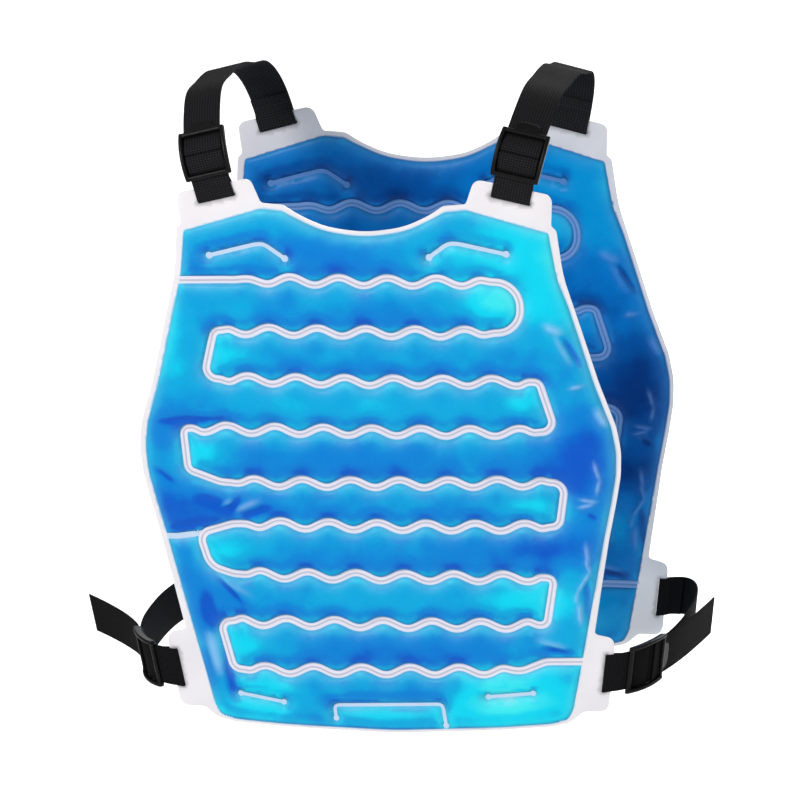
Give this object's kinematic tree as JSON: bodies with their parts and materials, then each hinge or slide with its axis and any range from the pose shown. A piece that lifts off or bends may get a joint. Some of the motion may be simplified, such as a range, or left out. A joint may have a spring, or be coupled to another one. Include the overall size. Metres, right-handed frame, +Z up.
{
  "type": "gel cooling vest",
  "caption": "Cooling vest of two welded film panels with gel in serpentine channels, joined by webbing straps with slide buckles over the shoulders and at the sides.",
  "frame": {"origin": "midway between the two shoulder straps, level with their undersides, where they rest on the shoulders (mount shoulder_rest)", "axes": "+Z up, -Y towards where the wearer faces, +X to the right of a viewer in front of the vest"},
  "size_m": [0.517, 0.231, 0.5277],
  "materials": {
    "welded_film": "translucent white welded film",
    "front_gel": "glossy film over bright blue gel",
    "rear_gel": "glossy film over darker blue gel",
    "webbing": "black woven webbing",
    "buckle_plastic": "black moulded plastic"
  },
  "bodies": {
    "root": {"front_film": "welded_film", "front_gel_long": "front_gel", "front_gel_side": "front_gel", "front_gel_hem": "front_gel", "rear_film": "welded_film", "rear_gel_long": "rear_gel", "rear_gel_side": "rear_gel", "rear_gel_hem": "rear_gel", "shoulder_strap_left": "webbing", "shoulder_strap_right": "webbing", "side_strap_left": "webbing", "side_strap_right": "webbing", "side_flap_left": "webbing", "side_flap_right": "webbing", "shoulder_buckle_left": "buckle_plastic", "shoulder_buckle_right": "buckle_plastic", "side_buckle_left": "buckle_plastic", "side_buckle_right": "buckle_plastic"}
  },
  "joints": []
}
